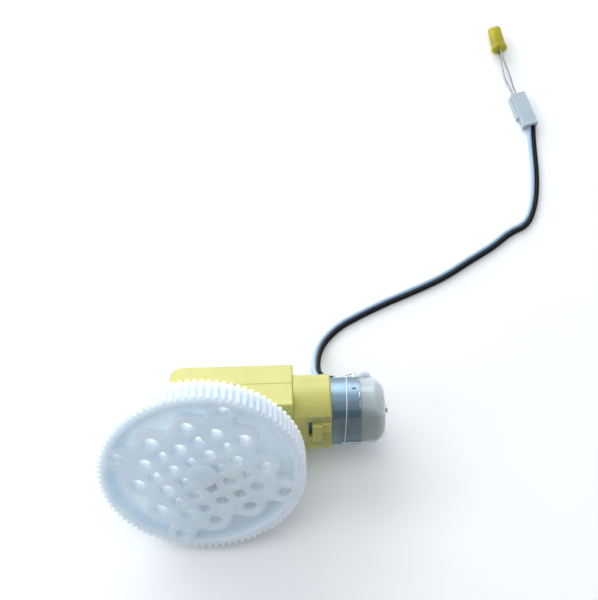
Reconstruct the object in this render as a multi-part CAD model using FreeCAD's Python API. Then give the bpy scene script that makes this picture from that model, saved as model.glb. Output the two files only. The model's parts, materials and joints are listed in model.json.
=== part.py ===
import FreeCAD, Part
import math
import os
from FreeCAD import Vector

# A yellow plastic 1:48 geared dc motor lying on a table. It carries a 90-tooth
# plastic gear wheel on its output shaft, and a twin lead with a two-pole
# connector and a 5 mm yellow indicator lamp.
#
# Working frame of the gearmotor, in millimetres: the origin is on the output
# shaft's axis in the plane of the gearbox's front face, X runs along the
# gearbox to the motor, Y runs back into the gearbox, and the wheel is at -Y.
# lean() then tips all of it about the X axis, so that it lies on the table on
# the wheel's back rim and the gearbox's lower back edge. The lead, connector
# and lamp lie on the table and are drawn in the leaning frame, +Z up.

# --- driving dimensions, gearbox ---
BOX_X0 = -11.2
BOX_X1 = 26.56
BOX_HALF = 11.15
BOX_DEPTH = 18.8
SEAM_Y = 9.84
WALL = 1.4
END_RADIUS = 5.0
EDGE_RADIUS = 0.6
FIT = 0.05

MOUNT_X = 20.6
MOUNT_PITCH = 17.5
MOUNT_R = 1.5
TAB_LENGTH = 5.0
TAB_HALF = 2.6
TAB_THICK = 2.5

SCREW_PLACES = ((-7.4, 7.4), (-7.4, -7.4), (9.0, 8.9), (9.0, -8.9))
SCREW_R = 0.95
SCREW_HEAD_R = 1.8
SCREW_HEAD_H = 1.3
SCREW_SINK = 0.2
BOSS_R = 2.0
MOUNT_BOSS_R = 2.3
COLLAR_R = 4.6
COLLAR_OUT = 0.4
PEG_R = 1.95
PEG_OUT = 1.5
BEARING_R = 3.3
PIN_SEAT_R = 1.7

# --- gear train: 8 into 24 at the crown gear, then 8 into 32 twice ---
MODULE_FAST = 0.5
MODULE_MIDDLE = 0.4
MODULE_SLOW = 0.5
PINION_TEETH = 8
WHEEL_TEETH = 32
CROWN_TEETH = 24
PRESSURE = math.radians(20)
SHIFT = 0.5
PINION_SHIFT = 0.3
ADDENDUM = 0.8
THINNING = 0.06
MIDDLE_X = MODULE_SLOW * (PINION_TEETH + WHEEL_TEETH) / 2
CROWN_X = MIDDLE_X + MODULE_MIDDLE * (PINION_TEETH + WHEEL_TEETH) / 2
PIN_R = 0.75
SHAFT_R = 2.7
SHAFT_FLAT = 1.85
SHAFT_OUT = 8.9
SHAFT_PILOT_R = 0.95
JOURNAL_R = 2.0
OUTPUT_Y = (12.0, 15.2)
MIDDLE_Y = (9.0, 11.0)
MIDDLE_PINION_Y = (11.0, 15.5)
CROWN_Y = (5.0, 6.6)
CROWN_TIP_Y = 7.7
CROWN_R = (5.6, 6.5)
BEARING_Y = 15.5
PIN_SEAT_Y = 15.7
PIN_SINK = 0.5

# --- motor ---
AXIS_Y = BOX_DEPTH / 2
CAN_X0 = 27.3
CAN_X1 = 46.5
CAN_R = 10.05
CAN_FLAT = 7.5
CAN_WALL = 0.5
HOLDER_X1 = 37.74
ROTOR_SHAFT_R = 1.0
SHAFT_TIP_X = 54.9
BUSH_R = 2.0
NOSE_R = 3.05
NOSE_LENGTH = 1.4
ROTOR_X = (31.5, 41.5)
ROTOR_R = 6.6
MAGNET_X = (29.5, 43.5)
MAGNET_IN_R = 7.0
COMMUTATOR_X = (44.6, 48.6)
COMMUTATOR_R = 2.1
BELL_X1 = 53.9
BELL_R = 9.9
BELL_WALL = 1.1
BELL_EDGE_R = 2.4
TERMINAL_Z = (5.0, 6.9)
JOINT_PLACE = (48.3, 17.5, 6.0)
JOINT_R = 2.25
STRAP_T = 0.35
STRAP_TOP = 4.1
STRAP_BOTTOM = -4.7
STRAP_HEAD_X = (30.0, 38.4)

# --- gear wheel ---
TIP_R = 29.78
ROOT_R = 28.55
TEETH = 90
FRONT_Y = -16.67
BACK_Y = -9.23
HOLE_PITCH = 8.25
HOLE_R = 1.95
SQUARE_SIDE = 3.25
HUB_R = 4.3
HUB_OUT = 0.5
HUB_BACK_Y = -1.2
RIM_IN_R = 26.6
POCKET_Y = -14.3
WEB_Y = -12.3
POCKET_CORNER = 2.0
WHEEL_TURN = 17.4

# --- lead, connector and lamp, in the leaning frame ---
WIRE_D = 1.4
WIRE_GAP = 0.1
LEAN = math.atan2(TIP_R - BOX_HALF, BOX_DEPTH - BACK_Y)
EDGE_ARC_Y = BOX_DEPTH - EDGE_RADIUS
EDGE_ARC_Z = BOX_HALF - EDGE_RADIUS
TABLE_Z = -EDGE_ARC_Y * math.sin(LEAN) - EDGE_ARC_Z * math.cos(LEAN) - EDGE_RADIUS
LEAD_Z = TABLE_Z + WIRE_D / 2 + 0.06

# Middle line of the twin lead, from the solder joint at the motor's back down
# to the table and across it to the connector.
LEAD_ROUTE = (
    (47.0, 18.5, -5.5),
    (42.5, 18.0, -8.0),
    (38.0, 19.0, -10.5),
    (35.3, 20.3, -12.2),
    (34.0, 23.0, -13.8),
    (34.0, 26.0, -15.5),
    (34.5, 30.0, -17.5),
    (36.5, 34.5, LEAD_Z),
    (41.5, 39.5, LEAD_Z),
    (48.0, 43.0, LEAD_Z),
    (57.5, 47.5, LEAD_Z),
    (67.5, 51.5, LEAD_Z),
    (77.5, 56.0, LEAD_Z),
    (86.0, 61.5, LEAD_Z),
    (94.5, 66.5, LEAD_Z),
    (100.5, 71.5, LEAD_Z),
    (106.5, 74.0, LEAD_Z),
    (109.5, 80.5, LEAD_Z),
    (111.0, 88.5, LEAD_Z),
    (111.5, 97.0, LEAD_Z),
    (111.5, 105.0, LEAD_Z),
    (112.0, 112.0, LEAD_Z),
)

PLUG_END = (111.4, 111.0)
PLUG_ANGLE = 105.0
PLUG_LENGTH = 13.0
PLUG_WIDTH = 5.3
PLUG_HEIGHT = 3.0
RIB_WIDTH = 0.85
LEG_D = 0.55
LEG_PITCH = 1.5
LEG_MIDDLE = -0.8
LEG_HEIGHT = 1.3

# The two lamp legs from the lamp to the connector: places in plan, and height
# above the table. One leg leaves the lamp above the other.
LOWER_LEG = (
    (103.8, 138.5, 1.5),
    (104.0, 134.5, 1.4),
    (104.4, 130.5, 1.4),
    (105.5, 127.5, 1.3),
    (106.4, 125.0, 1.3),
)
UPPER_LEG = (
    (103.9, 138.0, 3.8),
    (104.7, 135.0, 3.2),
    (105.8, 132.2, 2.6),
    (106.5, 129.5, 2.0),
    (107.0, 127.0, 1.5),
)
LAMP_BASE = (103.35, 141.6)
LAMP_ANGLE = 98.0
LAMP_R = 2.45
LAMP_FLANGE_R = 2.8
LAMP_LENGTH = 9.6
LAMP_LEG_OUT = 1.27
LAMP_LEG_SUNK = 0.6


def box(x0, x1, y0, y1, z0, z1):
    return Part.makeBox(x1 - x0, y1 - y0, z1 - z0, Vector(x0, y0, z0))


def rod_y(x, z, radius, y0, y1):
    return Part.makeCylinder(radius, y1 - y0, Vector(x, y0, z), Vector(0, 1, 0))


def rod_x(radius, x0, x1, y=AXIS_Y, z=0.0):
    return Part.makeCylinder(radius, x1 - x0, Vector(x0, y, z), Vector(1, 0, 0))


def fused(pieces):
    whole = pieces[0].multiFuse(list(pieces[1:]))
    return whole.removeSplitter()


def lean(shape):
    tipped = shape.copy()
    tipped.rotate(Vector(0, 0, 0), Vector(1, 0, 0), -math.degrees(LEAN))
    return tipped


def save(name, shape):
    problem = not shape.isValid() or not shape.Solids
    print(name, "solids", len(shape.Solids), "volume", round(shape.Volume, 2), "BAD" if problem else "")
    shape.exportStep("parts/" + name + ".step")


# ---------------------------------------------------------------- gear teeth

def involute(angle):
    return math.tan(angle) - angle


def tooth_half_angle(teeth, module, shift, radius):
    pitch_r = teeth * module / 2
    base_r = pitch_r * math.cos(PRESSURE)
    at_pitch = (math.pi / 2 + 2 * shift * math.tan(PRESSURE)) / teeth - THINNING / (2 * pitch_r)
    here = math.acos(min(1.0, base_r / max(radius, base_r)))
    return at_pitch + involute(PRESSURE) - involute(here)


def gear_disc(teeth, module, shift, y0, y1, first_angle):
    """Spur gear about the Y axis, with one tooth centred at first_angle."""
    pitch_r = teeth * module / 2
    root_r = pitch_r - module * (1.25 - shift)
    tip_r = pitch_r + module * (ADDENDUM + shift)
    base_r = pitch_r * math.cos(PRESSURE)
    start_r = max(root_r, base_r)
    flank_radii = [start_r + (tip_r - start_r) * step / 3 for step in range(4)]

    def place(radius, angle):
        return Vector(radius * math.cos(angle), y0, radius * math.sin(angle))

    edges = []
    pitch_angle = 2 * math.pi / teeth
    for index in range(teeth):
        middle = first_angle + index * pitch_angle
        rising = [place(r, middle - tooth_half_angle(teeth, module, shift, r)) for r in flank_radii]
        falling = [place(r, middle + tooth_half_angle(teeth, module, shift, r)) for r in flank_radii]
        falling.reverse()
        foot = tooth_half_angle(teeth, module, shift, start_r)
        if root_r < base_r:
            rising.insert(0, place(root_r, middle - foot))
            falling.append(place(root_r, middle + foot))
        for side in (rising, falling):
            for lower, upper in zip(side, side[1:]):
                edges.append(Part.LineSegment(lower, upper).toShape())
            if side is rising:
                tip = Part.Arc(rising[-1], place(tip_r, middle), falling[0])
                edges.append(tip.toShape())
        root_middle = place(root_r, middle + pitch_angle / 2)
        root_end = place(root_r, middle + pitch_angle - foot)
        edges.append(Part.Arc(falling[-1], root_middle, root_end).toShape())
    face = Part.Face(Part.Wire(edges))
    return face.extrude(Vector(0, y1 - y0, 0))


def moved(shape, x=0.0, y=0.0, z=0.0):
    placed = shape.copy()
    placed.translate(Vector(x, y, z))
    return placed


# ---------------------------------------------------------------- gearbox

def block(y0, y1, inset):
    """Gearbox block between two depths, with the large radius at its left end."""
    body = box(BOX_X0 + inset, BOX_X1 - inset, y0, y1, -BOX_HALF + inset, BOX_HALF - inset)
    left = [e for e in body.Edges if e.BoundBox.XMax < BOX_X0 + inset + 0.01 and e.BoundBox.ZLength < 0.01]
    return body.makeFillet(END_RADIUS - inset, left)


def rounded_block(y0, y1, outer_y):
    """The same block with its outer face's rim and its right corners rounded."""
    body = block(y0, y1, 0.0)
    right = [e for e in body.Edges if e.BoundBox.XMin > BOX_X1 - 0.01 and e.BoundBox.YLength > 1]
    body = body.makeFillet(EDGE_RADIUS, right)
    flat = [e for e in body.Edges if e.BoundBox.YLength < 0.01]
    rim = [e for e in flat if abs(e.BoundBox.YMin - outer_y) < 0.01]
    return body.makeFillet(EDGE_RADIUS, rim)


def mount_places():
    return ((MOUNT_X, MOUNT_PITCH / 2), (MOUNT_X, -MOUNT_PITCH / 2))


def boss_group(y0, y1, radius, places, core):
    pillars = [rod_y(x, z, radius, y0, y1) for x, z in places]
    return fused(pillars).common(core)


def shell_common(body, y0, y1):
    """Pillars for screws and mounting holes, then the holes through them."""
    core = block(y0, y1, 0.3)
    body = body.fuse(boss_group(y0, y1, BOSS_R, SCREW_PLACES, core))
    body = body.fuse(boss_group(y0, y1, MOUNT_BOSS_R, mount_places(), core))
    for x, z in mount_places():
        body = body.cut(rod_y(x, z, MOUNT_R, -1, BOX_DEPTH + 1))
    for x, z in SCREW_PLACES:
        body = body.cut(rod_y(x, z, SCREW_R, 2.6, BOX_DEPTH + 1))
    return body.cut(rod_x(3.15, CAN_X0 - 3.5, CAN_X0 + 0.1))


def front_shell():
    body = rounded_block(0.0, SEAM_Y, 0.0).cut(block(WALL, SEAM_Y, WALL))
    body = shell_common(body, 0.0, SEAM_Y)
    collar = rod_y(0, 0, COLLAR_R, -COLLAR_OUT, WALL + 0.1)
    peg = rod_y(MIDDLE_X + 1.0, 0, PEG_R, -PEG_OUT, 0.2)
    body = fused([body, collar, peg])
    body = body.cut(rod_y(0, 0, SHAFT_R + FIT, -2, WALL + 1))
    for x in (MIDDLE_X, CROWN_X):
        body = body.cut(rod_y(x, 0, PIN_R, PIN_SINK, WALL + 1))
    return body.removeSplitter()


def hook(front):
    """Hook for the strap on one side of the holder, drawn on the front side."""
    head = box(32.0, 34.9, -1.5, 0.3, -2.1, 3.5)
    neck = box(34.8, 37.4, -0.9, 0.3, 0.6, 3.9)
    pair = head.fuse(neck).removeSplitter()
    if not front:
        pair = pair.mirror(Vector(0, AXIS_Y, 0), Vector(0, 1, 0))
    return pair


def hook_slot(front):
    slot = box(30.8, 31.9, -2, 2.2, -1.8, 4.1).fuse(box(30.8, 33.4, -2, 2.2, 3.6, 4.1))
    if not front:
        slot = slot.mirror(Vector(0, AXIS_Y, 0), Vector(0, 1, 0))
    return slot


def can_core(radius, flat, x0, x1):
    """Round bar along X with two flats, the section of a 130-size motor."""
    return rod_x(radius, x0, x1).common(box(x0, x1, AXIS_Y - flat, AXIS_Y + flat, -20, 20))


def motor_holder():
    body = rod_x(BOX_HALF, BOX_X1, HOLDER_X1).common(box(BOX_X1, HOLDER_X1, 0, BOX_DEPTH, -20, 20))
    end = [e for e in body.Edges if e.BoundBox.XMin > HOLDER_X1 - 0.01]
    body = body.makeChamfer(0.5, end)
    body = body.cut(can_core(CAN_R + FIT, CAN_FLAT + FIT, CAN_X0, HOLDER_X1 + 1))
    body = body.cut(rod_x(3.15, BOX_X1 - 1, CAN_X0 + 0.1))
    for front in (True, False):
        body = body.cut(hook_slot(front)).fuse(hook(front))
    return body.removeSplitter()


def mounting_tab():
    plate = box(BOX_X0 - TAB_LENGTH + TAB_HALF, BOX_X0 + 0.5, SEAM_Y, SEAM_Y + TAB_THICK, -TAB_HALF, TAB_HALF)
    end = rod_y(BOX_X0 - TAB_LENGTH + TAB_HALF, 0, TAB_HALF, SEAM_Y, SEAM_Y + TAB_THICK)
    hole = rod_y(BOX_X0 - TAB_LENGTH + TAB_HALF, 0, MOUNT_R, SEAM_Y - 1, SEAM_Y + TAB_THICK + 1)
    return plate.fuse(end).cut(hole)


def rear_shell():
    body = rounded_block(SEAM_Y, BOX_DEPTH, BOX_DEPTH).cut(block(SEAM_Y, BOX_DEPTH - WALL, WALL))
    bearing = rod_y(0, 0, BEARING_R, BEARING_Y, BOX_DEPTH - WALL + 0.1)
    seats = [rod_y(x, 0, PIN_SEAT_R, PIN_SEAT_Y, BOX_DEPTH - WALL + 0.1) for x in (MIDDLE_X, CROWN_X)]
    body = fused([body, bearing, mounting_tab()] + seats)
    body = shell_common(body, SEAM_Y, BOX_DEPTH)
    body = body.cut(rod_y(0, 0, JOURNAL_R + FIT, 15, BOX_DEPTH - WALL + 0.1))
    for x in (MIDDLE_X, CROWN_X):
        body = body.cut(rod_y(x, 0, PIN_R, 15, BOX_DEPTH - PIN_SINK))
    for x, z in SCREW_PLACES:
        sink_y = BOX_DEPTH - SCREW_HEAD_H - SCREW_SINK
        body = body.cut(rod_y(x, z, SCREW_HEAD_R + 0.2, sink_y, BOX_DEPTH + 1))
    return fused([body, motor_holder()])


def housing_screws():
    screws = []
    for x, z in SCREW_PLACES:
        head_y = BOX_DEPTH - SCREW_HEAD_H - SCREW_SINK
        shank = rod_y(x, z, SCREW_R, 3.2, head_y + 0.1)
        head = rod_y(x, z, SCREW_HEAD_R, head_y, head_y + SCREW_HEAD_H)
        screw = shank.fuse(head).removeSplitter()
        for angle in (0, 90):
            slot = box(-1.0, 1.0, head_y + 0.6, head_y + 3, -0.22, 0.22)
            slot.rotate(Vector(0, 0, 0), Vector(0, 1, 0), angle + 20)
            screw = screw.cut(moved(slot, x, 0, z))
        screws.append(screw)
    return Part.makeCompound(screws)


def gear_pin(x):
    return rod_y(x, 0, PIN_R, PIN_SINK, BOX_DEPTH - PIN_SINK)


# ---------------------------------------------------------------- gears

def flatted_shaft(radius, flat, y0, y1):
    """Round shaft with two flats, turned to the angle the wheel rests at."""
    shaft = rod_y(0, 0, radius, y0, y1).common(box(-10, 10, y0, y1, -flat, flat))
    shaft.rotate(Vector(0, 0, 0), Vector(0, 1, 0), WHEEL_TURN)
    return shaft


def output_gear():
    y0, y1 = OUTPUT_Y
    half_pitch = math.pi / WHEEL_TEETH
    teeth = gear_disc(WHEEL_TEETH, MODULE_SLOW, -SHIFT, y0, y1, half_pitch)
    recess = rod_y(0, 0, 6.0, y0 - 0.1, y0 + 0.9).cut(rod_y(0, 0, 3.6, y0 - 0.2, y0 + 1))
    teeth = teeth.cut(recess)
    pieces = [
        teeth,
        flatted_shaft(SHAFT_R, SHAFT_FLAT, -SHAFT_OUT, -COLLAR_OUT),
        rod_y(0, 0, SHAFT_R, -COLLAR_OUT, y1),
        rod_y(0, 0, 3.7, WALL + 0.2, 3.4),
        rod_y(0, 0, JOURNAL_R, y1, BOX_DEPTH - WALL - 0.1),
    ]
    body = fused(pieces)
    return body.cut(rod_y(0, 0, SHAFT_PILOT_R, -SHAFT_OUT - 1, 1.5))


def middle_gear():
    y0, y1 = MIDDLE_Y
    p0, p1 = MIDDLE_PINION_Y
    half_pitch = math.pi / WHEEL_TEETH
    teeth = gear_disc(WHEEL_TEETH, MODULE_MIDDLE, -SHIFT, y0, y1, half_pitch)
    pinion = gear_disc(PINION_TEETH, MODULE_SLOW, SHIFT, p0, p1, 0.0)
    hub = rod_y(0, 0, 1.3, WALL + 0.1, y0)
    body = fused([teeth, pinion, hub]).cut(rod_y(0, 0, PIN_R + FIT, 0, BOX_DEPTH))
    return moved(body, MIDDLE_X)


def crown_tooth(angle):
    """Straight radial tooth of trapezoid section, standing on the crown disc."""
    base_y = CROWN_Y[1] - 0.2
    pitch_y = AXIS_Y - PINION_TEETH * MODULE_FAST / 2
    slope = math.tan(PRESSURE)
    half_pitch_line = 0.2
    half_base = half_pitch_line + (pitch_y - base_y) * slope
    half_tip = half_pitch_line - (CROWN_TIP_Y - pitch_y) * slope
    inner, outer = CROWN_R
    corners = [
        Vector(inner, base_y, -half_base),
        Vector(inner, CROWN_TIP_Y, -half_tip),
        Vector(inner, CROWN_TIP_Y, half_tip),
        Vector(inner, base_y, half_base),
    ]
    face = Part.Face(Part.makePolygon(corners + corners[:1]))
    tooth = face.extrude(Vector(outer - inner + 0.3, 0, 0))
    tooth.rotate(Vector(0, 0, 0), Vector(0, 1, 0), angle)
    return tooth


def crown_gear():
    y0, y1 = CROWN_Y
    m0, m1 = MIDDLE_Y
    step = 360.0 / CROWN_TEETH
    teeth = [crown_tooth(step * (index + 0.5)) for index in range(CROWN_TEETH)]
    ring = fused(teeth).common(rod_y(0, 0, CROWN_R[1], 0, BOX_DEPTH))
    disc = rod_y(0, 0, CROWN_R[1], y0, y1)
    hub = rod_y(0, 0, 1.7, WALL + 0.1, y0)
    pinion = gear_disc(PINION_TEETH, MODULE_MIDDLE, SHIFT, y1, m1 + 0.3, 0.0)
    rear = rod_y(0, 0, 1.25, m1 + 0.3, PIN_SEAT_Y - 0.1)
    body = fused([disc, ring, hub, pinion, rear]).cut(rod_y(0, 0, PIN_R + FIT, 0, BOX_DEPTH))
    return moved(body, CROWN_X)


def about_motor_axis(shape):
    """Turns a piece drawn about the Y axis so that it lies about the motor's axis."""
    turned = shape.copy()
    turned.rotate(Vector(0, 0, 0), Vector(0, 0, 1), -90)
    return moved(turned, 0, AXIS_Y, 0)


def motor_pinion():
    teeth = gear_disc(PINION_TEETH, MODULE_FAST, PINION_SHIFT, 22.3, 25.2, 0.0)
    return about_motor_axis(teeth.cut(rod_y(0, 0, ROTOR_SHAFT_R, 0, 60)))


# ---------------------------------------------------------------- motor

def rotor_shaft():
    return rod_x(ROTOR_SHAFT_R, 22.0, SHAFT_TIP_X)


def about_axis(shape, degrees):
    turned = shape.copy()
    turned.rotate(Vector(0, AXIS_Y, 0), Vector(1, 0, 0), degrees)
    return turned


def rotor_core():
    x0, x1 = ROTOR_X
    pieces = [rod_x(2.2, x0, x1)]
    pole = rod_x(ROTOR_R, x0, x1).cut(rod_x(ROTOR_R - 1.2, x0, x1))
    wedge = box(x0, x1, AXIS_Y - 10, AXIS_Y + 10, 0, 10)
    sector = about_axis(wedge, 40).common(about_axis(wedge, -40))
    stem = box(x0, x1, AXIS_Y - 0.9, AXIS_Y + 0.9, 1.5, 6.0)
    for index in range(3):
        pieces.append(about_axis(pole.common(sector), 120 * index))
        pieces.append(about_axis(stem, 120 * index))
    return fused(pieces).cut(rod_x(ROTOR_SHAFT_R, 20, 60))


def rotor_windings():
    x0, x1 = ROTOR_X
    coil = box(x0 - 1.4, x1 + 1.4, AXIS_Y - 2.3, AXIS_Y + 2.3, 2.5, 4.8)
    ends = [e for e in coil.Edges if e.BoundBox.ZLength > 2]
    coil = coil.makeFillet(1.3, ends)
    coil = coil.cut(box(x0, x1, AXIS_Y - 0.9, AXIS_Y + 0.9, 0, 8))
    return Part.makeCompound([about_axis(coil, 120 * index) for index in range(3)])


def commutator():
    x0, x1 = COMMUTATOR_X
    ring = rod_x(COMMUTATOR_R, x0, x1)
    collar = rod_x(1.8, ROTOR_X[1], x0)
    for index in range(3):
        groove = box(x0 + 0.6, x1 + 1, AXIS_Y - 0.15, AXIS_Y + 0.15, 1.7, 4)
        ring = ring.cut(about_axis(groove, 120 * index + 60))
    return ring.fuse(collar).cut(rod_x(ROTOR_SHAFT_R, 20, 60)).removeSplitter()


def motor_can():
    outer = can_core(CAN_R, CAN_FLAT, CAN_X0, CAN_X1)
    front = [e for e in outer.Edges if e.BoundBox.XMax < CAN_X0 + 0.01]
    outer = outer.makeFillet(0.8, front)
    inner = can_core(CAN_R - CAN_WALL, CAN_FLAT - CAN_WALL, CAN_X0 + CAN_WALL, CAN_X1 + 1)
    boss = rod_x(NOSE_R, CAN_X0 - NOSE_LENGTH, CAN_X0 + 0.3)
    body = outer.cut(inner).fuse(boss)
    return body.cut(rod_x(BUSH_R, CAN_X0 - 2, CAN_X0 + 2)).removeSplitter()


def field_magnets():
    x0, x1 = MAGNET_X
    ring = rod_x(CAN_R - CAN_WALL - FIT, x0, x1).cut(rod_x(MAGNET_IN_R, x0, x1))
    slab = box(x0, x1, AXIS_Y - 6.4, AXIS_Y + 6.4, 2.2, 12)
    upper = ring.common(slab)
    return Part.makeCompound([upper, about_axis(upper, 180)])


def bush(x0, x1):
    return rod_x(BUSH_R, x0, x1).cut(rod_x(ROTOR_SHAFT_R + FIT, x0 - 1, x1 + 1))


def bell_outline(offset, x0):
    """Rounded plan of the motor's rear end, as a solid tall in Z."""
    y0 = AXIS_Y - CAN_FLAT - offset
    y1 = AXIS_Y + CAN_FLAT + offset
    solid = box(x0, BELL_X1 + offset, y0, y1, -20, 20)
    rear = [e for e in solid.Edges if e.BoundBox.ZLength > 1 and e.BoundBox.XMin > BELL_X1 + offset - 0.01]
    return solid.makeFillet(2.6 + offset, rear)


def bell_section(offset, x0):
    """The motor's section with its four long edges rounded, as a straight bar."""
    bar = can_core(BELL_R - offset, CAN_FLAT - offset, x0, BELL_X1 + 1)
    long_edges = [e for e in bar.Edges if e.BoundBox.XLength > 1]
    return bar.makeFillet(BELL_EDGE_R - offset, long_edges)


def bell_form(offset):
    """Domed nylon end of the motor, rounded towards the rear."""
    x0 = CAN_X1
    x1 = BELL_X1 - offset
    r = BELL_R - offset
    points = [
        Vector(x0, AXIS_Y, 0),
        Vector(x0, AXIS_Y, r),
        Vector(x1 - 3.4, AXIS_Y, r),
        Vector(x1 - 1.0, AXIS_Y, r - 1.9),
        Vector(x1, AXIS_Y, r - 4.6),
        Vector(x1, AXIS_Y, 0),
    ]
    edges = [
        Part.LineSegment(points[0], points[1]).toShape(),
        Part.LineSegment(points[1], points[2]).toShape(),
        Part.Arc(points[2], points[3], points[4]).toShape(),
        Part.LineSegment(points[4], points[5]).toShape(),
        Part.LineSegment(points[5], points[0]).toShape(),
    ]
    face = Part.Face(Part.Wire(edges))
    dome = face.revolve(Vector(0, AXIS_Y, 0), Vector(1, 0, 0), 360)
    return dome.common(bell_outline(-offset, x0 - 1)).common(bell_section(offset, x0 - 1))


def end_bell():
    spigot = can_core(CAN_R - CAN_WALL, CAN_FLAT - CAN_WALL, CAN_X1 - 1.5, CAN_X1 + 0.5)
    spigot = spigot.cut(can_core(CAN_R - 1.5, CAN_FLAT - 1.5, CAN_X1 - 2, CAN_X1 + 1))
    body = bell_form(0.0).cut(bell_form(BELL_WALL)).fuse(spigot)
    body = body.fuse(rod_x(3.2, 50.5, BELL_X1 - 0.5)).removeSplitter()
    body = body.cut(rod_x(BUSH_R, 50.4, BELL_X1 - 0.6))
    return body.cut(rod_x(ROTOR_SHAFT_R + 0.3, 50, BELL_X1 + 1))


def brushes():
    """Two carbon blocks on flat springs, one each side of the commutator."""
    carbon = box(45.4, 47.8, AXIS_Y + COMMUTATOR_R + FIT, AXIS_Y + 4.0, -1.0, 1.0)
    spring = box(46.3, 46.9, AXIS_Y + 4.0, AXIS_Y + CAN_FLAT - 1.5, -1.0, 1.0)
    pair = carbon.fuse(spring).removeSplitter()
    return Part.makeCompound([pair, about_axis(pair, 180)])


def motor_terminals():
    tabs = [box(47.6, 49.0, AXIS_Y + 4.6, 18.6, z - 0.15, z + 0.15) for z in TERMINAL_Z]
    return Part.makeCompound(tabs)


def joint_blob():
    return Part.makeSphere(JOINT_R, Vector(*JOINT_PLACE))


def strap_band(x_near, thickness):
    """The strap's closed loop in plan: outer form less inner form."""
    outer = bell_outline(thickness, x_near)
    inner = bell_outline(0.0, x_near - 1)
    return outer.cut(inner)


def strap_ramp(side):
    """Sloping length from the can's flat out to the holder's face."""
    near_y = AXIS_Y + side * CAN_FLAT
    far_y = AXIS_Y + side * BOX_DEPTH / 2
    corners = [
        Vector(40.4, near_y, 0),
        Vector(40.4, near_y + side * STRAP_T, 0),
        Vector(38.4, far_y + side * STRAP_T, 0),
        Vector(37.9, far_y + side * STRAP_T, 0),
        Vector(37.9, far_y, 0),
    ]
    face = Part.Face(Part.makePolygon(corners + corners[:1]))
    return moved(face.extrude(Vector(0, 0, STRAP_TOP - STRAP_BOTTOM)), 0, 0, STRAP_BOTTOM)


def strap_head(side, top):
    y0 = AXIS_Y + side * BOX_DEPTH / 2
    y1 = y0 + side * STRAP_T
    x0, x1 = STRAP_HEAD_X
    plate = box(x0, x1, min(y0, y1), max(y0, y1), STRAP_BOTTOM - 0.2, top)
    window_top = 4.15 if side < 0 else 3.95
    window = box(x0 + 0.5, x1 - 0.8, min(y0, y1) - 1, max(y0, y1) + 1, -2.3, window_top)
    return plate.cut(window)


def strap():
    band = strap_band(40.3, STRAP_T).common(box(30, 60, -5, 25, STRAP_BOTTOM, STRAP_TOP))
    band = band.cut(rod_x(1.5, 50, 60))
    pieces = [band, strap_ramp(-1), strap_ramp(1), strap_head(-1, 6.7), strap_head(1, 4.5)]
    return fused(pieces)


# ---------------------------------------------------------------- gear wheel

def toothed_blank():
    """Disc with 90 straight teeth and a small bevel on each rim edge."""
    pitch = 2 * math.pi / TEETH
    tip_half = 0.17 * pitch
    root_half = 0.36 * pitch
    points = []
    for index in range(TEETH):
        middle = index * pitch
        root = (ROOT_R, root_half)
        tip = (TIP_R, tip_half)
        for radius, angle in ((root[0], -root[1]), (tip[0], -tip[1]), tip, root):
            place = middle + angle
            points.append(Vector(radius * math.cos(place), FRONT_Y, radius * math.sin(place)))
    face = Part.Face(Part.makePolygon(points + points[:1]))
    prism = face.extrude(Vector(0, BACK_Y - FRONT_Y, 0))
    barrel = rod_y(0, 0, TIP_R + 0.2, FRONT_Y, BACK_Y)
    barrel = barrel.makeChamfer(0.5, [e for e in barrel.Edges if e.BoundBox.YLength < 0.01])
    return prism.common(barrel)


def lattice_points(odd):
    """Hole places, in hole pitches: whole steps, or half steps between them."""
    places = []
    for i in range(-3, 4):
        for j in range(-3, 4):
            if odd:
                if abs(i + 0.5) + abs(j + 0.5) <= 2.01:
                    places.append((i + 0.5, j + 0.5))
            elif 0 < abs(i) + abs(j) <= 3:
                places.append((i, j))
    return places


def raised_platform():
    """Scalloped platform: each outer hole sits in a lobe of half a pitch radius."""
    half = HOLE_PITCH / 2
    y0, y1 = FRONT_Y - 1, BACK_Y
    pieces = []
    for row in range(-3, 4):
        reach = (3 - abs(row)) * HOLE_PITCH
        z = row * HOLE_PITCH
        for end in (-reach, reach):
            pieces.append(rod_y(end, z, half, y0, y1))
        if reach:
            pieces.append(box(-reach, reach, y0, y1, z - half, z + half))
            pieces.append(box(z - half, z + half, y0, y1, -reach, reach))
    return fused(pieces)


def corner_fillets():
    """Rounds the platform's inner corners, between one lobe and the next."""
    r = 1.3
    half = HOLE_PITCH / 2
    pieces = []
    for u, v in ((1.5, 1.5), (0.5, 2.5), (2.5, 0.5)):
        for sx in (-1, 1):
            for sz in (-1, 1):
                x = sx * u * 2 * half
                z = sz * v * 2 * half
                block_x = sorted((x - sx * 0.2, x + sx * r))
                block_z = sorted((z - sz * 0.2, z + sz * r))
                square = box(block_x[0], block_x[1], FRONT_Y - 1, BACK_Y, block_z[0], block_z[1])
                pieces.append(square.cut(rod_y(x + sx * r, z + sz * r, r, FRONT_Y - 2, BACK_Y + 1)))
    return fused(pieces)


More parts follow.
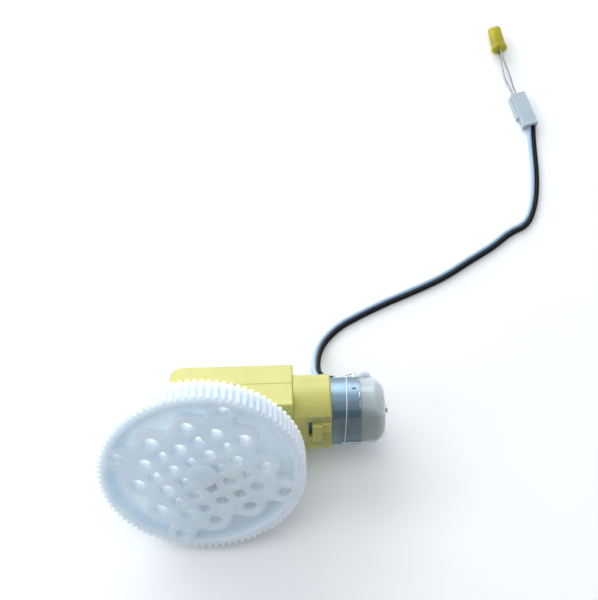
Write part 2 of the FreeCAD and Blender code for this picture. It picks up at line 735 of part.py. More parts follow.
def bowl_cutter(y_open, y_floor, radius, corner):
    """Turned recess with a rounded floor corner, open towards y_open."""
    way = 1 if y_open > y_floor else -1
    bend = corner * (1 - math.sqrt(0.5))
    points = [
        Vector(0, y_floor, 0),
        Vector(radius - corner, y_floor, 0),
        Vector(radius - bend, y_floor + way * bend, 0),
        Vector(radius, y_floor + way * corner, 0),
        Vector(radius, y_open, 0),
        Vector(0, y_open, 0),
    ]
    edges = [
        Part.LineSegment(points[0], points[1]).toShape(),
        Part.Arc(points[1], points[2], points[3]).toShape(),
        Part.LineSegment(points[3], points[4]).toShape(),
        Part.LineSegment(points[4], points[5]).toShape(),
        Part.LineSegment(points[5], points[0]).toShape(),
    ]
    return Part.Face(Part.Wire(edges)).revolve(Vector(0, 0, 0), Vector(0, 1, 0), 360)


def gear_wheel():
    platform = raised_platform().fuse(corner_fillets()).removeSplitter()
    pocket = bowl_cutter(FRONT_Y - 0.5, POCKET_Y, RIM_IN_R, POCKET_CORNER).cut(platform)
    back = bowl_cutter(BACK_Y + 0.5, WEB_Y, RIM_IN_R - 0.4, 1.0)
    body = toothed_blank().cut(pocket).cut(back)
    holes = [rod_y(i * HOLE_PITCH, j * HOLE_PITCH, HOLE_R, -20, 0) for i, j in lattice_points(False)]
    half = SQUARE_SIDE / 2
    for i, j in lattice_points(True):
        square = box(-half, half, -20, 0, -half, half)
        square.rotate(Vector(0, 0, 0), Vector(0, 1, 0), 45)
        holes.append(moved(square, i * HOLE_PITCH, 0, j * HOLE_PITCH))
    body = body.cut(Part.makeCompound(holes))
    hub = rod_y(0, 0, HUB_R, FRONT_Y - HUB_OUT, HUB_BACK_Y)
    hub = hub.cut(Part.makeSphere(2.6, Vector(0, FRONT_Y - 2.7, 0)))
    body = body.fuse(hub).removeSplitter()
    body.rotate(Vector(0, 0, 0), Vector(0, 1, 0), WHEEL_TURN)
    return body.cut(flatted_shaft(SHAFT_R + FIT, SHAFT_FLAT + FIT, -SHAFT_OUT - 0.1, 0))


# ---------------------------------------------------------------- lead

def side_step(points, distance):
    """The route moved sideways by distance in plan, corner by corner."""
    moved_points = []
    for index, point in enumerate(points):
        before = points[max(index - 1, 0)]
        after = points[min(index + 1, len(points) - 1)]
        here = [Vector(b[0] - a[0], b[1] - a[1], 0).normalize() for a, b in ((before, point), (point, after))
                if a != b]
        run = sum(here[1:], here[0]).normalize()
        stretch = 1 / run.dot(here[0])
        normal = Vector(-run.y, run.x, 0) * distance * stretch
        moved_points.append(Vector(*point) + normal)
    return moved_points


def tube(name, points, diameter):
    """Round tube along straight runs joined by arcs as large as the runs allow."""
    edges = []
    start = points[0]
    radii = []
    for index in range(1, len(points) - 1):
        corner = points[index]
        way_in = points[index - 1] - corner
        way_out = points[index + 1] - corner
        turn = math.pi - way_in.getAngle(way_out)
        reach = 0.45 * min(way_in.Length, way_out.Length)
        radius = reach / math.tan(turn / 2)
        radii.append(round(radius, 1))
        first = corner + Vector(way_in).normalize() * reach
        last = corner + Vector(way_out).normalize() * reach
        bisector = (Vector(way_in).normalize() + Vector(way_out).normalize()).normalize()
        middle = corner + bisector * (radius / math.cos(turn / 2) - radius)
        edges.append(Part.LineSegment(start, first).toShape())
        edges.append(Part.Arc(first, middle, last).toShape())
        start = last
    edges.append(Part.LineSegment(start, points[-1]).toShape())
    path = Part.Wire(edges)
    ring = Part.Wire([Part.Circle(points[0], points[1] - points[0], diameter / 2).toShape()])
    solid = path.makePipeShell([ring], True, False)
    wanted = math.pi * diameter ** 2 / 4 * path.Length
    ratio = round(solid.Volume / wanted, 4)
    print(name, "length", round(path.Length, 2), "radii", radii, "volume ratio", ratio)
    return solid


def lead_conductor(name, side):
    return tube(name, side_step(LEAD_ROUTE, side * (WIRE_D + WIRE_GAP) / 2), WIRE_D)


# ---------------------------------------------------------------- connector and lamp

def in_plug_frame(shape):
    """Places a piece drawn with X across and Y along the connector."""
    turned = shape.copy()
    turned.rotate(Vector(0, 0, 0), Vector(0, 0, 1), PLUG_ANGLE - 90)
    return moved(turned, PLUG_END[0], PLUG_END[1], TABLE_Z)


def connector_housing(white, black):
    half = PLUG_WIDTH / 2
    body = box(-half, half, 0, PLUG_LENGTH, 0.02, PLUG_HEIGHT)
    body = body.makeFillet(0.35, [e for e in body.Edges if e.BoundBox.YLength > 1])
    rib = box(-half - RIB_WIDTH, -half + 0.5, 3.9, 12.2, 0.02, 2.3)
    rib = rib.makeFillet(0.3, [e for e in rib.Edges if e.BoundBox.YLength > 1])
    lip = box(-half - 0.1, half + 0.1, 0, 0.9, 0.02, PLUG_HEIGHT + 0.15)
    body = fused([body, rib, lip])
    sockets = [box(x - 0.5, x + 0.5, 4.0, PLUG_LENGTH + 1, 0.8, 1.8) for x in leg_places()]
    body = body.cut(Part.makeCompound(sockets))
    return in_plug_frame(body).cut(white).cut(black)


def leg_places():
    return (LEG_MIDDLE - LEG_PITCH / 2, LEG_MIDDLE + LEG_PITCH / 2)


def connector_contacts():
    """Two folded tin-plated contacts, one on each conductor."""
    contacts = []
    for x in leg_places():
        sleeve = box(x - 0.48, x + 0.48, 5.0, 11.0, 0.82, 1.78)
        contacts.append(sleeve.cut(box(x - 0.36, x + 0.36, 6.0, 12.0, 0.92, 1.68)))
    return in_plug_frame(Part.makeCompound(contacts))


def lamp_leg(name, route, place_in_lamp, place_in_plug):
    """One leg, from inside the lamp along its route into a contact's socket."""
    foot = in_lamp_frame(Part.Vertex(0, LAMP_LEG_SUNK, place_in_lamp)).Point
    tip = in_plug_frame(Part.Vertex(place_in_plug, PLUG_LENGTH - 4.0, LEG_HEIGHT)).Point
    middle = [Vector(x, y, TABLE_Z + height) for x, y, height in route]
    return tube(name, [foot] + middle + [tip], LEG_D)


def led_legs():
    left, right = leg_places()
    lower = lamp_leg("lower leg", LOWER_LEG, -LAMP_LEG_OUT, left)
    upper = lamp_leg("upper leg", UPPER_LEG, LAMP_LEG_OUT, right)
    return Part.makeCompound([lower, upper])


def led_form():
    """Turned lamp: flange, straight barrel, rounded shoulder, small domed nose."""
    r = LAMP_R
    length = LAMP_LENGTH
    nose_r = 1.0
    nose_h = 0.8
    nose_ball = (nose_r ** 2 + nose_h ** 2) / (2 * nose_h)
    half_turn = math.asin(nose_r / nose_ball) / 2
    nose_middle = Vector(nose_ball * math.sin(half_turn), length - nose_ball * (1 - math.cos(half_turn)), 0)
    points = [
        Vector(0, 0, 0),
        Vector(LAMP_FLANGE_R, 0, 0),
        Vector(LAMP_FLANGE_R, 1.0, 0),
        Vector(r, 1.0, 0),
        Vector(r, length - 1.9, 0),
        Vector(r * 0.9, length - 1.2, 0),
        Vector(nose_r, length - nose_h, 0),
        nose_middle,
        Vector(0, length, 0),
    ]
    edges = [Part.LineSegment(a, b).toShape() for a, b in zip(points[:5], points[1:5])]
    edges.append(Part.Arc(points[4], points[5], points[6]).toShape())
    edges.append(Part.Arc(points[6], points[7], points[8]).toShape())
    edges.append(Part.LineSegment(points[8], points[0]).toShape())
    return Part.Face(Part.Wire(edges)).revolve(Vector(0, 0, 0), Vector(0, 1, 0), 360)


def in_lamp_frame(shape):
    turned = shape.copy()
    turned.rotate(Vector(0, 0, 0), Vector(0, 0, 1), LAMP_ANGLE - 90)
    return moved(turned, LAMP_BASE[0], LAMP_BASE[1], TABLE_Z + LAMP_FLANGE_R + 0.02)


def led_lens(legs, frame):
    lens = in_lamp_frame(led_form())
    return lens.cut(legs).cut(frame)


def led_frame():
    """Anvil and post of the lead frame, sealed in the lamp, one above the other."""
    half = 0.25
    y0 = LAMP_LEG_SUNK
    inner = LAMP_LEG_OUT - half
    outer = LAMP_LEG_OUT + half
    post = box(-half, half, y0, 5.0, inner, outer).fuse(box(-half, half, 3.6, 5.2, 0.4, outer))
    anvil = box(-half, half, y0, 4.6, -outer, -inner).fuse(box(-half, half, 3.0, 4.8, -outer, 0.1))
    return in_lamp_frame(Part.makeCompound([post.removeSplitter(), anvil.removeSplitter()]))


def main():
    os.makedirs("parts", exist_ok=True)
    geared_motor = {
        "front_shell": front_shell(),
        "rear_shell": rear_shell(),
        "housing_screws": housing_screws(),
        "middle_gear_pin": gear_pin(MIDDLE_X),
        "crown_gear_pin": gear_pin(CROWN_X),
        "output_gear": output_gear(),
        "middle_gear": middle_gear(),
        "crown_gear": crown_gear(),
        "motor_pinion": motor_pinion(),
        "rotor_shaft": rotor_shaft(),
        "rotor_core": rotor_core(),
        "rotor_windings": rotor_windings(),
        "commutator": commutator(),
        "motor_can": motor_can(),
        "field_magnets": field_magnets(),
        "front_bush": bush(CAN_X0 - NOSE_LENGTH, CAN_X0 + NOSE_LENGTH),
        "rear_bush": bush(50.6, BELL_X1 - 0.6),
        "brushes": brushes(),
        "motor_strap": strap(),
        "gear_wheel": gear_wheel(),
    }
    tabs = motor_terminals()
    geared_motor["motor_terminals"] = tabs
    geared_motor["end_bell"] = end_bell().cut(tabs)
    for name, shape in geared_motor.items():
        save(name, lean(shape))

    white = lead_conductor("lead_white", 1)
    black = lead_conductor("lead_black", -1)
    save("lead_white", white)
    save("lead_black", black)
    blob = joint_blob()
    blob = blob.cut(bell_form(0.0))
    for neighbour in ("end_bell", "motor_terminals", "motor_can", "motor_strap"):
        blob = blob.cut(geared_motor[neighbour])
    blob = lean(blob).cut(white).cut(black)
    biggest = max(blob.Solids, key=lambda solid: solid.Volume)
    save("terminal_glue", biggest)

    save("connector_housing", connector_housing(white, black))
    save("connector_contacts", connector_contacts())
    legs = led_legs()
    frame = led_frame().cut(legs)
    save("led_legs", legs)
    save("led_frame", frame)
    save("led_lens", led_lens(legs, frame))


main()
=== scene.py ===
import json
import math

import bmesh
import bpy
from mathutils import Matrix, Vector


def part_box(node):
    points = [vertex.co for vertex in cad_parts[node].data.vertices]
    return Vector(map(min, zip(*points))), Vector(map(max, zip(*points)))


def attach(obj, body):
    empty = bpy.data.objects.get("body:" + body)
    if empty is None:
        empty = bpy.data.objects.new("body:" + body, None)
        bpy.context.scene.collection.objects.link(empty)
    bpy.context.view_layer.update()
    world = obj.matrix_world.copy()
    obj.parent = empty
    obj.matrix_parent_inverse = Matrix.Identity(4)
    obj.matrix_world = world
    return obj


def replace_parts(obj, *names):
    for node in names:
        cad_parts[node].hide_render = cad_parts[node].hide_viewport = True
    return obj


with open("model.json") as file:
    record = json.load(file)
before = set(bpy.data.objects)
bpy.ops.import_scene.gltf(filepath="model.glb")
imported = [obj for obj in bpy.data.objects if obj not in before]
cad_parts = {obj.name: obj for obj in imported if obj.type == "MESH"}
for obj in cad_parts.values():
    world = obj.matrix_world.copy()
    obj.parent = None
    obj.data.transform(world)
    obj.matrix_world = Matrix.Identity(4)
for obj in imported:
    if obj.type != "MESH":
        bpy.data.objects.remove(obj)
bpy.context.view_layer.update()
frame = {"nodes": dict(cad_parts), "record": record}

# A yellow geared dc motor with a large toothed wheel, a twin lead, a connector
# and a small yellow lamp, lying on a pale table. Everything is in metres in the
# CAD frame: +X runs along the gearbox to the motor, and +Z is up.

NODES = frame["nodes"]
MM = 0.001
TABLE_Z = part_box("rear_shell")[0].z

# The gearmotor leans on the wheel's rim: its own back and up directions.
SHAFT_OUT = Vector(next(mount["axis"] for mount in frame["record"]["mounts"]
                        if mount["name"] == "output_shaft"))
BACK = -SHAFT_OUT.normalized()
UP = Vector((1, 0, 0)).cross(BACK)

# The motor, strap and gearbox seam in the gearmotor's own upright frame, in mm.
CAN_R = 10.05
CAN_END_X = 46.5
MOTOR_Y = 9.4
FLAT_Y = MOTOR_Y - 7.5
STRAP_THICKNESS = 0.35
STRAP_FACE_Y = FLAT_Y - STRAP_THICKNESS
STRAP_GAP = 0.03
SEAM_Y = 9.84
SEAM_HALF_HEIGHT = 11.16
SEAM_CORNER_R = 5.0

# Thickness of the thin strands, in mm.
STRING_ROUND_D = 0.26
STRING_BELOW_D = 0.34
CRIMP_D = 0.34
# Thickness of the dark strand that stands in for the dimple's painted shade.
DIMPLE_SHADE_D = 0.6
SEAM_D = 0.22

# Where the glue strings' middle lines lie, just off the can's flat and the strap.
ON_FLAT_Y = FLAT_Y - 0.1
ON_STRAP_Y = STRAP_FACE_Y - 0.1

# The twin lead. Its declared lengths are those of the CAD tubes.
WIRE_D = 1.4 * MM
WIRE_GAP = 0.1 * MM
LEAD_Z = TABLE_Z + WIRE_D / 2 + 0.06 * MM

# Studio: light powers in watts, and the room's brightness in front and behind.
KEY_POWER = 11.0
OVERHEAD_POWER = 2.5
FILL_POWER = 2.4
WORLD_FRONT = 0.26
WORLD_BACK = 0.90
ROOM_COLOUR = (0.88, 0.95, 1.0, 1)
TABLE_REACH = 3.0
LIGHT_AIM = (0.045, 0.03, 0.0)
CARD_X = 0.04
CARD_Y = -0.085
CARD_HALF_WIDTH = 0.25
CARD_TOP_Z = 0.06

# Camera: angles in degrees, lens in mm on a 36 mm sensor.
CAMERA_PLACE = Vector((0.02724, -0.07649, 0.31491))
AZIMUTH = -0.925
ELEVATION = 69.372
ROLL = -0.745
LENS = 65.24
SENSOR_WIDTH = 36.0


def at(x, y, z):
    """A point in the gearmotor's own upright frame, in mm, placed as it leans."""
    return Vector((x * MM, 0, 0)) + BACK * (y * MM) + UP * (z * MM)


# ---------------------------------------------------------------- node helpers

class Nodes:
    """Short names for building one material's node tree."""

    def __init__(self, name):
        self.material = bpy.data.materials.new(name)
        self.material.use_nodes = True
        self.tree = self.material.node_tree
        self.tree.nodes.clear()
        output = self.add("ShaderNodeOutputMaterial")
        self.shader = self.add("ShaderNodeBsdfPrincipled")
        self.link(self.shader.outputs[0], output.inputs["Surface"])
        self.place = self.add("ShaderNodeTexCoord").outputs["Object"]

    def add(self, kind):
        return self.tree.nodes.new(kind)

    def link(self, source, target):
        self.tree.links.new(source, target)

    def set(self, **values):
        """Constants on the shader's own sockets."""
        for key, value in values.items():
            self.shader.inputs[key.replace("_", " ")].default_value = value

    def noise(self, scale, detail=4.0, roughness=0.55, where=None):
        node = self.add("ShaderNodeTexNoise")
        node.inputs["Scale"].default_value = scale
        node.inputs["Detail"].default_value = detail
        node.inputs["Roughness"].default_value = roughness
        self.link(where or self.place, node.inputs["Vector"])
        return node.outputs["Fac"]

    def colour(self, factor, light, dark):
        """Base colour that drifts from dark to light with the factor."""
        node = self.add("ShaderNodeValToRGB")
        stops = ((0.3, dark), (0.7, light))
        for element, (place, colour) in zip(node.color_ramp.elements, stops):
            element.position = place
            element.color = (*colour, 1)
        self.link(factor, node.inputs["Fac"])
        self.link(node.outputs["Color"], self.shader.inputs["Base Color"])

    def roughness(self, factor, low, high):
        """Roughness from low to high as the factor goes from 0 to 1."""
        node = self.add("ShaderNodeMapRange")
        node.inputs["To Min"].default_value = low
        node.inputs["To Max"].default_value = high
        self.link(factor, node.inputs["Value"])
        self.link(node.outputs["Result"], self.shader.inputs["Roughness"])

    def scatter(self, weight, depth, radius):
        """Light under the surface: how much, how deep in mm, and how far each colour goes."""
        self.set(Subsurface_Weight=weight, Subsurface_Scale=depth * MM)
        self.shader.inputs["Subsurface Radius"].default_value = radius

    def bump(self, height, strength, depth):
        """Fine relief, depth in mm."""
        node = self.add("ShaderNodeBump")
        node.inputs["Strength"].default_value = strength
        node.inputs["Distance"].default_value = depth * MM
        self.link(height, node.inputs["Height"])
        self.link(node.outputs["Normal"], self.shader.inputs["Normal"])


def stretched(nodes, x, y, z):
    """Object coordinates scaled unevenly, for streaks and drawn metal."""
    node = nodes.add("ShaderNodeMapping")
    node.inputs["Scale"].default_value = (x, y, z)
    nodes.link(nodes.place, node.inputs["Vector"])
    return node.outputs["Vector"]


def moulded_plastic(name, light, dark, roughness=0.38, scatter=0.2, depth=1.2):
    """Injection-moulded plastic: faint colour drift, fine texture, soft sheen."""
    n = Nodes(name)
    fine = n.noise(2600.0, 3.0)
    n.colour(n.noise(90.0, 5.0), light, dark)
    n.roughness(fine, roughness - 0.06, roughness + 0.08)
    n.bump(fine, 0.25, 0.04)
    n.scatter(scatter, depth, (1.0, 0.85, 0.5))
    n.set(IOR=1.49)
    return n.material


def wheel_plastic():
    """The wheel's milky plastic, which lets light through from behind."""
    n = Nodes("wheel_plastic")
    fine = n.noise(1800.0, 3.0)
    n.colour(n.noise(60.0, 4.0), light=(0.71, 0.79, 0.90), dark=(0.64, 0.73, 0.85))
    n.roughness(fine, 0.44, 0.58)
    n.bump(fine, 0.2, 0.04)
    n.scatter(1.0, 8.0, (0.85, 0.93, 1.0))
    n.set(IOR=1.49, Specular_IOR_Level=0.3)
    return n.material


def metal(name, light, dark, roughness, streak=(40, 600, 600)):
    """Drawn or turned metal, with streaks that are long where streak is small."""
    n = Nodes(name)
    drawn = n.noise(1.0, 6.0, 0.6, stretched(n, *streak))
    n.colour(drawn, light, dark)
    n.roughness(drawn, roughness - 0.07, roughness + 0.1)
    n.bump(drawn, 0.15, 0.03)
    n.set(Metallic=1.0)
    return n.material


def translucent_nylon(name, light, dark, clear, depth):
    """Cloudy plastic with a smooth skin, partly clear; depth is in mm."""
    n = Nodes(name)
    cloud = n.noise(220.0, 4.0)
    n.colour(cloud, light, dark)
    n.roughness(cloud, 0.16, 0.32)
    n.bump(n.noise(500.0, 3.0), 0.25, 0.1)
    n.scatter(0.9, depth, (0.95, 1.0, 1.0))
    n.set(Transmission_Weight=clear, IOR=1.5, Coat_Weight=0.6, Coat_Roughness=0.06)
    return n.material


def clear_film():
    """Thin clear strap: the piece under it shows through a faint olive tint."""
    n = Nodes("clear_strap")
    cloud = n.noise(160.0, 3.0)
    n.colour(cloud, light=(0.52, 0.53, 0.44), dark=(0.38, 0.39, 0.30))
    n.roughness(cloud, 0.08, 0.2)
    n.bump(n.noise(700.0, 2.0), 0.15, 0.06)
    n.set(Alpha=0.10, IOR=1.46, Coat_Weight=0.8, Coat_Roughness=0.08)
    return n.material


def lamp_plastic():
    """The lamp's tinted plastic, half clear."""
    n = Nodes("lamp_tinted")
    cloud = n.noise(300.0, 3.0)
    n.colour(cloud, light=(0.63, 0.57, 0.06), dark=(0.54, 0.48, 0.045))
    n.roughness(cloud, 0.10, 0.22)
    n.bump(n.noise(900.0, 2.0), 0.1, 0.03)
    n.scatter(0.9, 4.0, (1.0, 0.9, 0.3))
    n.set(Transmission_Weight=0.5, IOR=1.3)
    return n.material


def wire_insulation(name, light, dark, roughness, gloss):
    """Soft insulation with faint streaks."""
    n = Nodes(name)
    streaks = n.noise(900.0, 3.0)
    n.colour(streaks, light, dark)
    n.roughness(streaks, roughness - 0.05, roughness + 0.1)
    n.bump(streaks, 0.2, 0.03)
    n.set(IOR=1.48, Specular_IOR_Level=gloss)
    return n.material


def table_surface():
    """The pale table's matt white."""
    n = Nodes("table_white")
    n.colour(n.noise(30.0, 3.0), light=(0.98, 0.98, 0.98), dark=(0.95, 0.95, 0.95))
    n.set(Roughness=0.7)
    return n.material


# Each record slot's material; glue_string is one more, for the thin strings.
MATERIALS = {
    "yellow_plastic": moulded_plastic(
        "yellow_abs", (0.535, 0.495, 0.14), (0.475, 0.44, 0.115), 0.34, 0.3, 1.6),
    "gear_plastic": moulded_plastic(
        "gear_acetal", (0.80, 0.80, 0.76), (0.72, 0.72, 0.68)),
    "wheel_plastic": wheel_plastic(),
    "bell_plastic": translucent_nylon(
        "bell_nylon", (0.54, 0.62, 0.67), (0.46, 0.54, 0.58), 0.08, 8.0),
    "clear_plastic": clear_film(),
    "steel": metal(
        "bright_steel", (0.62, 0.63, 0.64), (0.45, 0.46, 0.47), 0.25),
    "zinc_steel": metal(
        "zinc_can", (0.27, 0.37, 0.45), (0.17, 0.25, 0.32), 0.34, (30, 500, 500)),
    "core_steel": metal(
        "laminated_steel", (0.30, 0.30, 0.31), (0.18, 0.18, 0.19), 0.45, (2500, 60, 60)),
    "ferrite": moulded_plastic(
        "ferrite", (0.07, 0.065, 0.06), (0.04, 0.038, 0.036), 0.6, 0.0),
    "bronze": metal(
        "sintered_bronze", (0.50, 0.34, 0.16), (0.36, 0.24, 0.11), 0.5),
    "copper": metal(
        "enamelled_copper", (0.62, 0.28, 0.12), (0.45, 0.18, 0.07), 0.3, (60, 3000, 3000)),
    "brass": metal(
        "turned_brass", (0.72, 0.55, 0.24), (0.58, 0.42, 0.16), 0.28),
    "tin": metal(
        "tinned_metal", (0.50, 0.50, 0.50), (0.30, 0.30, 0.31), 0.35, (300, 300, 300)),
    "glue": translucent_nylon(
        "hot_glue", (0.66, 0.72, 0.76), (0.54, 0.60, 0.64), 0.05, 1.5),
    "glue_string": moulded_plastic(
        "glue_string", (0.80, 0.84, 0.88), (0.72, 0.76, 0.80), 0.25, 0.0),
    "lead_white": wire_insulation(
        "pale_insulation", (0.42, 0.55, 0.74), (0.34, 0.47, 0.66), 0.35, 0.5),
    "lead_black": wire_insulation(
        "black_insulation", (0.006, 0.006, 0.007), (0.003, 0.003, 0.004), 0.5, 0.2),
    "connector_plastic": moulded_plastic(
        "connector_nylon", (0.46, 0.53, 0.58), (0.41, 0.475, 0.53), 0.42, 0.3),
    "lamp_plastic": lamp_plastic(),
}


def finish_cad_nodes():
    """Each CAD node takes its slot's material."""
    for part in frame["record"]["subparts"]:
        node = NODES[part["node"]]
        node.data.materials.clear()
        node.data.materials.append(MATERIALS[part["material_slot"]])


finish_cad_nodes()


# ------------------------------------------------------------ curves and pieces

def nurbs_tube(name, points, thickness, rings, material):
    """A round tube along a smooth line that has these points as its control points."""
    curve = bpy.data.curves.new(name, "CURVE")
    curve.dimensions = "3D"
    curve.bevel_depth = thickness / 2
    curve.bevel_resolution = rings
    curve.use_fill_caps = True
    spline = curve.splines.new("NURBS")
    spline.points.add(len(points) - 1)
    for target, point in zip(spline.points, points):
        target.co = (*point, 1)
    spline.order_u = 3
    spline.use_endpoint_u = True
    curve.materials.append(material)
    piece = bpy.data.objects.new(name, curve)
    bpy.context.collection.objects.link(piece)
    return piece


def solid(name, form, material):
    """A piece made from a finished bmesh."""
    mesh = bpy.data.meshes.new(name)
    form.to_mesh(mesh)
    form.free()
    mesh.materials.append(material)
    piece = bpy.data.objects.new(name, mesh)
    bpy.context.collection.objects.link(piece)
    return piece


def on_housing(piece):
    """A new piece rides on the housing."""
    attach(piece, "housing")
    return piece


# ---------------------------------------------------------------- lead

# Middle line of the twin lead, from the solder joint to the connector.
LEAD_ROUTE = (
    (0.0470, 0.0185, -0.0055),
    (0.0425, 0.0180, -0.0080),
    (0.0380, 0.0190, -0.0105),
    (0.0353, 0.0203, -0.0122),
    (0.0340, 0.0230, -0.0138),
    (0.0340, 0.0260, -0.0155),
    (0.0345, 0.0300, -0.0175),
    (0.0365, 0.0345, LEAD_Z),
    (0.0415, 0.0395, LEAD_Z),
    (0.0480, 0.0430, LEAD_Z),
    (0.0575, 0.0475, LEAD_Z),
    (0.0675, 0.0515, LEAD_Z),
    (0.0775, 0.0560, LEAD_Z),
    (0.0860, 0.0615, LEAD_Z),
    (0.0945, 0.0665, LEAD_Z),
    (0.1005, 0.0715, LEAD_Z),
    (0.1065, 0.0740, LEAD_Z),
    (0.1095, 0.0805, LEAD_Z),
    (0.1110, 0.0885, LEAD_Z),
    (0.1115, 0.0970, LEAD_Z),
    (0.1115, 0.1050, LEAD_Z),
    (0.1120, 0.1120, LEAD_Z),
)


def side_step(points, distance):
    """The route moved sideways by distance in plan, corner by corner."""
    last = len(points) - 1
    stepped = []
    for index, point in enumerate(points):
        runs = []
        for start, end in ((max(index - 1, 0), index), (index, min(index + 1, last))):
            if start != end:
                runs.append((Vector(points[end]) - Vector(points[start])).xy.normalized())
        along = sum(runs[1:], runs[0]).normalized()
        step = Vector((-along.y, along.x, 0)) * distance / along.dot(runs[0])
        stepped.append(Vector(point) + step)
    return stepped


def conductor(name, side, slot):
    """One of the lead's two conductors, on the given side of its middle line."""
    points = side_step(LEAD_ROUTE, side * (WIRE_D + WIRE_GAP) / 2)
    piece = nurbs_tube(name, points, WIRE_D, 8, MATERIALS[slot])
    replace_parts(piece, slot)
    on_housing(piece)


conductor("pale_conductor", 1, "lead_white")
conductor("black_conductor", -1, "lead_black")


# ---------------------------------------------------------------- glue and crimps

def on_can(x, degrees, proud=0.0):
    """A point on the can's round top, degrees forward of its highest line."""
    turn = math.radians(degrees)
    radius = CAN_R + proud
    return (x, MOTOR_Y - radius * math.sin(turn), radius * math.cos(turn))


def glue_mass(name, lumps, voxel):
    """Lumps of hot glue that have run together: balls remeshed into one smooth skin."""
    form = bmesh.new()
    for x, y, z, radius in lumps:
        place = Matrix.Translation(at(x, y, z))
        bmesh.ops.create_icosphere(form, subdivisions=3, radius=radius * MM, matrix=place)
    piece = on_housing(solid(name, form, MATERIALS["glue"]))
    skin = piece.modifiers.new("skin", "REMESH")
    skin.mode = "VOXEL"
    skin.voxel_size = voxel * MM
    skin.use_smooth_shade = True
    flow = piece.modifiers.new("flow", "SMOOTH")
    flow.factor = 0.6
    flow.iterations = 5
    return piece


def strand(name, points, thickness, finish):
    """A thin round strand through points in the gearmotor's own frame, in mm."""
    placed = [at(*point) for point in points]
    piece = nurbs_tube(name, placed, thickness * MM, 3, MATERIALS[finish])
    on_housing(piece)


# Where the can's folded crimps begin and end, in degrees forward of its highest line.
CRIMP_ANGLES = ((17, 27), (32, 46), (-20, -8))

# Centre and radius of each lump of glue, in mm.
JOINT_LUMPS = (
    (47.4, 16.9, 6.9, 2.0),
    (48.6, 17.3, 5.9, 2.1),
    (46.4, 17.2, 5.2, 1.8),
    (49.9, 16.6, 5.6, 1.5),
    (45.4, 18.2, 5.3, 1.5),
    (44.2, 18.0, 5.2, 1.1),
)
EDGE_LUMPS = (
    (43.6, 16.6, 6.8, 0.9),
    (42.8, 16.4, 7.0, 0.75),
    (42.0, 16.5, 6.9, 0.8),
    (41.1, 16.3, 7.1, 0.7),
    (40.2, 16.5, 6.9, 0.75),
    (39.2, 16.3, 7.0, 0.65),
)


def strap_film():
    """The clear strap, a hair thinner than its CAD solid, so that it stands off the can."""
    form = bmesh.new()
    form.from_mesh(NODES["motor_strap"].data)
    bmesh.ops.remove_doubles(form, verts=form.verts, dist=0.001 * MM)
    for face in form.faces:
        face.smooth = False
    film = on_housing(solid("strap_film", form, MATERIALS["clear_plastic"]))
    gap = film.modifiers.new("gap", "DISPLACE")
    gap.mid_level = 0.0
    gap.strength = -STRAP_GAP * MM
    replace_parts(film, "motor_strap")


def glue_pieces():
    """Glue over the solder joint and the can's edge, and two thin strings of it."""
    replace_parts(glue_mass("joint_glue", JOINT_LUMPS, 0.3), "terminal_glue")
    glue_mass("edge_glue", EDGE_LUMPS, 0.22)
    around = [on_can(42.5 - turn * 0.006, turn, 0.2) for turn in range(-26, 50, 12)]
    around += [
        (42.1, ON_STRAP_Y, 5.2),
        (42.0, ON_STRAP_Y, 3.5),
        (41.8, ON_STRAP_Y, -4.0),
        (41.4, ON_FLAT_Y, -6.2),
    ]
    strand("glue_string_round", around, STRING_ROUND_D, "glue_string")
    below = [
        (40.7, ON_FLAT_Y, -5.6),
        (41.0, ON_FLAT_Y, -6.6),
        (42.8, ON_FLAT_Y, -6.1),
        (46.5, ON_FLAT_Y, -6.2),
        (50.0, FLAT_Y - 0.05, -6.0),
        (51.6, FLAT_Y + 0.5, -5.4),
    ]
    strand("glue_string_below", below, STRING_BELOW_D, "glue_string")


def can_marks():
    """Folded crimps along the can's rear edge, and beside them a short dark strand whose
    colour is painted shade for a dimple in the can.
    """
    for index, (first, last) in enumerate(CRIMP_ANGLES):
        step = (last - first) / 3
        rim = [on_can(CAN_END_X - 0.3, first + step * count, 0.02) for count in range(4)]
        strand("can_crimp_%d" % index, rim, CRIMP_D, "steel")
    # Painted shade: the dimple is drawn as a short raised strand in dark laminated steel
    # instead of as a dent.
    mark = [on_can(44.2, 7, -0.02), on_can(44.6, 9, 0.06), on_can(45.0, 8, -0.02)]
    strand("can_dimple_shade", mark, DIMPLE_SHADE_D, "core_steel")


def seam_line():
    """The fine moulded edge where the gearbox's two shells meet, along the block's top, round
    its end away from the motor and along its bottom.
    """
    box_low, box_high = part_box("front_shell")
    x0, x1 = box_low.x / MM, box_high.x / MM - 0.1
    points = [(x1, SEAM_Y, SEAM_HALF_HEIGHT)]
    for side, steps in ((1, range(7)), (-1, range(6, -1, -1))):
        for step in steps:
            turn = math.radians(15 * step)
            x = x0 + SEAM_CORNER_R * (1 - math.sin(turn))
            z = SEAM_HALF_HEIGHT - SEAM_CORNER_R * (1 - math.cos(turn))
            points.append((x, SEAM_Y, side * z))
    points.append((x1, SEAM_Y, -SEAM_HALF_HEIGHT))
    strand("shell_seam", points, SEAM_D, "yellow_plastic")


strap_film()
glue_pieces()
can_marks()
seam_line()


# ---------------------------------------------------------------- studio

def area_light(name, place, size, power, colour=(1, 1, 1)):
    """A soft rectangular light that faces the object's middle."""
    data = bpy.data.lights.new(name, "AREA")
    data.shape = "RECTANGLE"
    data.size, data.size_y = size
    data.energy = power
    data.color = colour
    light = bpy.data.objects.new(name, data)
    bpy.context.collection.objects.link(light)
    light.location = place
    way = Vector(LIGHT_AIM) - Vector(place)
    light.rotation_euler = way.to_track_quat("-Z", "Y").to_euler()
    return light


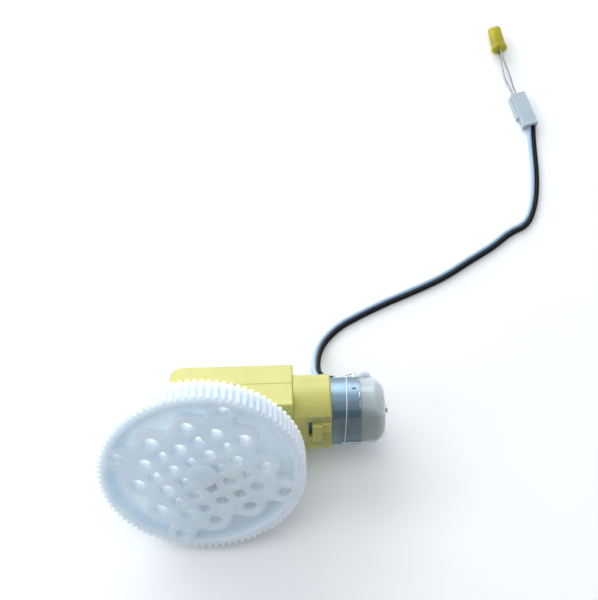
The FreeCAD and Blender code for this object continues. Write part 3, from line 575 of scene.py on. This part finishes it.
def soft_world():
    """Plain room light: bright behind the table, dim towards the front."""
    world = bpy.data.worlds.new("studio")
    bpy.context.scene.world = world
    world.use_nodes = True
    tree = world.node_tree
    background = tree.nodes["Background"]
    way = tree.nodes.new("ShaderNodeTexCoord")
    parts = tree.nodes.new("ShaderNodeSeparateXYZ")
    fade = tree.nodes.new("ShaderNodeMapRange")
    fade.inputs["From Min"].default_value = -0.7
    fade.inputs["From Max"].default_value = 0.8
    fade.inputs["To Min"].default_value = WORLD_FRONT
    fade.inputs["To Max"].default_value = WORLD_BACK
    tree.links.new(way.outputs["Generated"], parts.inputs[0])
    tree.links.new(parts.outputs["Y"], fade.inputs["Value"])
    tree.links.new(fade.outputs["Result"], background.inputs["Strength"])
    background.inputs["Color"].default_value = ROOM_COLOUR


def stage_sheet(name, corners, material):
    """A flat four-cornered sheet that is part of the studio, not of the object."""
    mesh = bpy.data.meshes.new(name)
    mesh.from_pydata(corners, [], [(0, 1, 2, 3)])
    mesh.materials.append(material)
    sheet = bpy.data.objects.new(name, mesh)
    bpy.context.collection.objects.link(sheet)
    return sheet


def table():
    """The pale table under everything."""
    far = TABLE_REACH
    around = ((-far, -far), (far, -far), (far, far), (-far, far))
    corners = [(x, y, TABLE_Z) for x, y in around]
    stage_sheet("table", corners, table_surface())


def dark_card():
    """Studio flag in front, seen only in reflections, that darkens the can's flat."""
    x0, x1 = CARD_X - CARD_HALF_WIDTH, CARD_X + CARD_HALF_WIDTH
    low, high = TABLE_Z + MM, CARD_TOP_Z
    corners = [(x0, CARD_Y, low), (x1, CARD_Y, low), (x1, CARD_Y, high), (x0, CARD_Y, high)]
    grey = moulded_plastic("card_grey", (0.07, 0.075, 0.085), (0.05, 0.055, 0.065))
    card = stage_sheet("dark_card", corners, grey)
    card.visible_camera = False
    card.visible_diffuse = False
    card.visible_shadow = False
    card.visible_transmission = False


def studio():
    """A window behind, soft light overhead and a weak fill from the left."""
    area_light("window_behind", (-0.40, 0.84, 0.34), (1.2, 0.8), KEY_POWER, (0.95, 0.98, 1.0))
    overhead = area_light("overhead", (0.0, 0.1, 1.1), (0.7, 0.7), OVERHEAD_POWER)
    overhead.visible_glossy = False
    area_light("left_fill", (-0.8, -0.1, 0.5), (0.6, 0.6), FILL_POWER, (0.9, 0.96, 1.0))
    soft_world()
    table()
    dark_card()


def camera():
    """The camera, from its place, its angles and its lens."""
    azimuth = math.radians(AZIMUTH)
    elevation = math.radians(ELEVATION)
    back = Vector((math.sin(azimuth) * math.cos(elevation),
                   -math.cos(azimuth) * math.cos(elevation),
                   math.sin(elevation)))
    right = Vector((math.cos(azimuth), math.sin(azimuth), 0))
    up = back.cross(right)
    turn = Matrix((right, up, back)).transposed() @ Matrix.Rotation(math.radians(ROLL), 3, "Z")
    data = bpy.data.cameras.new("camera")
    data.sensor_width = SENSOR_WIDTH
    data.lens = LENS
    data.clip_start = 0.01
    view = bpy.data.objects.new("camera", data)
    bpy.context.collection.objects.link(view)
    view.matrix_world = Matrix.Translation(CAMERA_PLACE) @ turn.to_4x4()
    bpy.context.scene.camera = view


studio()
camera()
bpy.context.scene.view_settings.view_transform = "Standard"
